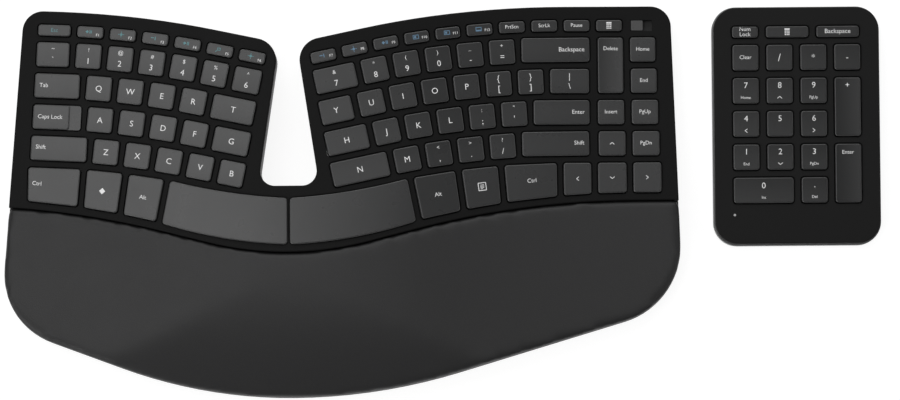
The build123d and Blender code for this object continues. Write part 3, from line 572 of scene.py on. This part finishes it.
# by node, its caps from the rear row forward, and each row from left to right
# "L" and "R" put a word at that side of its cap, and "#" names a sign drawn from bars
keyLegends = {
    "function_keys_left": [word("Esc", y=0.2, size="escLabel")] + [
        media(i, sign) for i, sign in enumerate(
            ("play", "dial", "step", "play", "lens", "dial"), start=1)],
    "function_keys_right": [media(i, sign, -0.5) for i, sign in enumerate(
        ("step", "dial", "play", "panel", "panel", "tray"), start=7)] + [
        word("PrtScn", size="label"), word("ScrLk", size="label"), word("Pause", size="label"),
        word("#sum", y=0.0)],
    "number_keys_left": [two(u, l) for u, l in zip("~!@#$%^", "`123456")],
    "number_keys_right": [two(u, l) for u, l in zip("&*()_+", "7890-=")],
    "backspace_key": [word("Backspace", "R", size="longWord")],
    "tab_key": [word("Tab", "L")],
    "top_letter_keys_left": [letter(s) for s in "QWERT"],
    "top_letter_keys_right": [letter(s) for s in "YUIOP"] + [
        tall("{", "["), tall("}", "]"), tall("|", "\\")],
    "caps_lock_key": [word("Caps Lock", "L")],
    "home_letter_keys_left": [letter(s) for s in "ASDFG"],
    "home_letter_keys_right": [letter(s) for s in "HJKL"] + [two(":", ";"), two('"', "'")],
    "enter_key": [word("Enter", "R")],
    "left_shift_key": [word("Shift", "L", 0.8)],
    "bottom_letter_keys_left": [letter(s) for s in "ZXCVB"],
    "bottom_letter_keys_right": [letter(s) for s in "NM"] + [
        two("<", ","), two(">", "."), two("?", "/")],
    "right_shift_key": [word("Shift", "R", 0.5)],
    "delete_key": [word("Delete", 0.0, 9.9, size="navWord")],
    "navigation_keys": [word(text, size="navWord") for text in (
        "Home", "End", "Insert", "PgUp", "PgDn")],
    "arrow_keys": [word("#" + sign, y=0.0) for sign in ("up", "left", "down", "right")],
    "left_ctrl_key": [word("Ctrl", "L", 1.0)],
    "left_symbol_key": [word("#diamond", y=0.0)],
    "left_alt_key": [word("Alt")],
    "right_alt_key": [word("Alt")],
    "menu_key": [word("#menu", y=0.3)],
    "right_ctrl_key": [word("Ctrl", y=0.7)],
    "pad_function_keys": [
        word("Num", y=1.75, size="padLabel") + word("Lock", y=-1.25, size="padLabel"),
        word("#sum", y=0.0), word("Backspace", size="longWord")],
    "pad_operator_keys": [word("Clear", size="navWord"), word("/", y=0.0, size="slash"),
                          letter("*"), letter("-")],
    "pad_digit_keys": [padDigit(*pair) for pair in (
        ("7", "Home"), ("8", "#up"), ("9", "PgUp"), ("4", "#left"), ("5",), ("6", "#right"),
        ("1", "End"), ("2", "#down"), ("3", "PgDn"), (".", "Del"))],
    "pad_tall_keys": [word("+", y=12.7, size="digit"), word("Enter", y=12.3, size="navWord")],
    "pad_zero_key": [word("0", y=2.8, size="digit") + word("Ins", y=-4.1, size="small")],
}
# sizes that aren't in white, and the number of their material
inks = {"teal": 1, "escLabel": 1, "blue": 2}


def looseParts(bm):
    # the faces of each separate shell, always in the same order
    seen = set()
    parts = []
    for first in bm.faces:
        if first not in seen:
            seen.add(first)
            part = [first]
            for face in part:
                for edge in face.edges:
                    fresh = [f for f in edge.link_faces if f not in seen]
                    seen.update(fresh)
                    part += fresh
            parts.append(part)
    return parts


def meanNormal(faces):
    return sum((f.normal * f.calc_area() for f in faces), Vector()).normalized()


def capPlaces(bm):
    # each cap's middle, axes and half width, from its upper face
    places = []
    for part in looseParts(bm):
        up = [f for f in part if f.normal.z > capShape["topSlope"]]
        normal = meanNormal(up)
        high = max(f.calc_center_median().dot(normal) for f in up)
        least = high - capShape["topDepth"] * mm
        up = [f for f in up if f.calc_center_median().dot(normal) > least]
        normal = meanNormal(up)
        rim = [e for e in dict.fromkeys(e for f in up for e in f.edges)
               if sum(f in up for f in e.link_faces) == 1]
        runs = [e.verts[1].co - e.verts[0].co for e in rim]
        along = sum((r if r.x > 0 else -r for r in runs if abs(r.x) > 2 * abs(r.y)), Vector())
        along = (along - normal * along.dot(normal)).normalized()
        across = normal.cross(along)
        corners = [v.co for f in up for v in f.verts]
        us = [c.dot(along) for c in corners]
        vs = [c.dot(across) for c in corners]
        middle = (along * (min(us) + max(us)) / 2 + across * (min(vs) + max(vs)) / 2
                  + normal * high)
        places.append((middle, along, across, normal, (max(us) - min(us)) / 2))
    return places


def inRows(places):
    # rear row first, and within a row from left to right
    places = sorted(places, key=lambda p: -p[0].y)
    rows = [[places[0]]]
    for place in places[1:]:
        last = rows[-1][-1]
        lean = last[1].y / last[1].x
        gap = last[0].y - place[0].y
        if gap > capShape["rowGap"] * mm + abs(lean * (place[0].x - last[0].x)):
            rows.append([])
        rows[-1].append(place)
    return [p for row in rows for p in sorted(row, key=lambda p: p[0].x)]


def addLegend(bm, tree, spot, item):
    text, size, x, y = item
    middle, along, across, normal, half = spot
    if text.startswith("#") and len(text) > 1:
        mesh = signMesh(text[1:], legend["icon"] if size in inks else 1.0)
        drop = 0.0
    else:
        height = legend[size]
        mesh = textMesh(text, height, {"L": "LEFT", "R": "RIGHT"}.get(x, "CENTER"))
        drop = height / 2
    if x == "L":
        x = legend["margin"] - half / mm
    elif x == "R":
        x = half / mm - legend["margin"]
    part = bmesh.new()
    part.from_mesh(mesh)
    for v in part.verts:
        point = middle + along * (v.co.x + x * mm) + across * (v.co.y + (y - drop) * mm)
        above = point + normal * legend["reach"] * mm
        hit = tree.ray_cast(above, -normal)[0] or point
        v.co = hit + normal * (v.co.z + (legend["lift"] + legend["thick"] / 2) * mm)
    for face in part.faces:
        face.material_index = inks.get(size, 0)
    flat = bpy.data.meshes.new("part")
    part.to_mesh(flat)
    part.free()
    bm.from_mesh(flat)
    bpy.data.meshes.remove(flat)
    bpy.data.meshes.remove(mesh)


def makeLegends(node, plan):
    source = joinedCopy(node)
    tree = BVHTree.FromBMesh(source)
    spots = inRows(capPlaces(source))
    if len(spots) != len(plan):
        raise ValueError(f"{node} has {len(spots)} caps and {len(plan)} legends")
    capTops.extend((middle, normal) for middle, _, _, normal, _ in spots)
    bm = bmesh.new()
    for spot, items in zip(spots, plan):
        for item in items:
            addLegend(bm, tree, spot, item)
    source.free()
    makePiece(bm, "legends_" + node, node,
              ["legendWhite", "legendTeal", "legendBlue"])


capTops = []
for node, plan in keyLegends.items():
    makeLegends(node, plan)
print("legends on", len(keyLegends), "nodes")


# what gives way under a pressed cap on the real object lies low enough for it here

under = {
    "room": 4.0,     # mm below a cap's top
    "least": 0.12,   # mm that stay of a piece
    "skins": {
        "rubber_domes": "dome_rubber",
        "scissor_links": "link_plastic",
        "stabiliser_wires": "steel_wire",
        "pad_rubber_domes": "dome_rubber",
        "pad_scissor_links": "link_plastic",
    },
}


def layLow(node, skin):
    bm = joinedCopy(node)
    for part in looseParts(bm):
        verts = dict.fromkeys(v for face in part for v in face.verts)
        middle = sum((v.co for v in verts), Vector()) / len(verts)
        top, normal = min(capTops, key=lambda spot: (spot[0] - middle).length)
        heights = {v: (v.co - top).dot(normal) / mm for v in verts}
        low, high = min(heights.values()), max(heights.values())
        goal = max(-under["room"], low + under["least"])
        if high > goal:
            lost = 1 - (goal - low) / (high - low)
            for v, height in heights.items():
                v.co -= normal * (height - low) * lost * mm
    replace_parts(makePiece(bm, "low_" + node, node, [skin]), node)


for node, skin in under["skins"].items():
    layLow(node, skin)
print("domes, links and wires laid low on", len(under["skins"]), "nodes")


# floor, lamps and camera


def makeFloor():
    bm = bmesh.new()
    bmesh.ops.create_grid(bm, x_segments=1, y_segments=1, size=studio["floorSize"])
    mesh = bpy.data.meshes.new("floor")
    bm.to_mesh(mesh)
    bm.free()
    material, tree, shader = newMaterial("floorPaper", {
        "Base Color": studio["floorColor"], "Roughness": studio["floorRoughness"],
        "Specular IOR Level": 0.0, "Emission Color": grey(1.0)})
    path = addNode(tree, "ShaderNodeLightPath").outputs
    either = addMath(tree, "MAXIMUM", path["Is Camera Ray"], path["Is Glossy Ray"])
    glow = addMath(tree, "MULTIPLY", either, studio["floorGlow"])
    fill(tree, shader, {"Emission Strength": glow})
    mesh.materials.append(material)
    floor = bpy.data.objects.new("floor", mesh)
    bpy.context.scene.collection.objects.link(floor)


def makeLamps():
    target = Vector(view["aim"]) * mm
    for name, place, width, depth, watts in studio["lamps"]:
        data = bpy.data.lights.new(name, "AREA")
        data.shape = "RECTANGLE"
        data.size = width
        data.size_y = depth
        data.energy = watts
        lamp = bpy.data.objects.new(name, data)
        lamp.location = place
        lamp.rotation_euler = (target - Vector(place)).to_track_quat("-Z", "Y").to_euler()
        bpy.context.scene.collection.objects.link(lamp)
    world = bpy.context.scene.world or bpy.data.worlds.new("studio")
    bpy.context.scene.world = world
    world.use_nodes = True
    sky = world.node_tree.nodes["Background"]
    fill(world.node_tree, sky, {"Color": grey(1.0), "Strength": studio["sky"]})


def makeCamera():
    aim = Vector(view["aim"]) * mm
    tilt = Matrix.Rotation(radians(view["tilt"]), 4, "X")
    place = aim + tilt @ Vector((0, 0, view["distance"]))
    data = bpy.data.cameras.new("camera")
    data.sensor_fit = "HORIZONTAL"
    data.sensor_width = view["sensor"]
    data.lens = view["sensor"] * view["distance"] / view["width"]
    camera = bpy.data.objects.new("camera", data)
    camera.matrix_world = (Matrix.Translation(place) @ tilt
                           @ Matrix.Rotation(radians(view["roll"]), 4, "Z"))
    bpy.context.scene.collection.objects.link(camera)
    bpy.context.scene.camera = camera


makeFloor()
makeLamps()
makeCamera()
bpy.context.scene.view_settings.view_transform = "Standard"
print("studio ready")
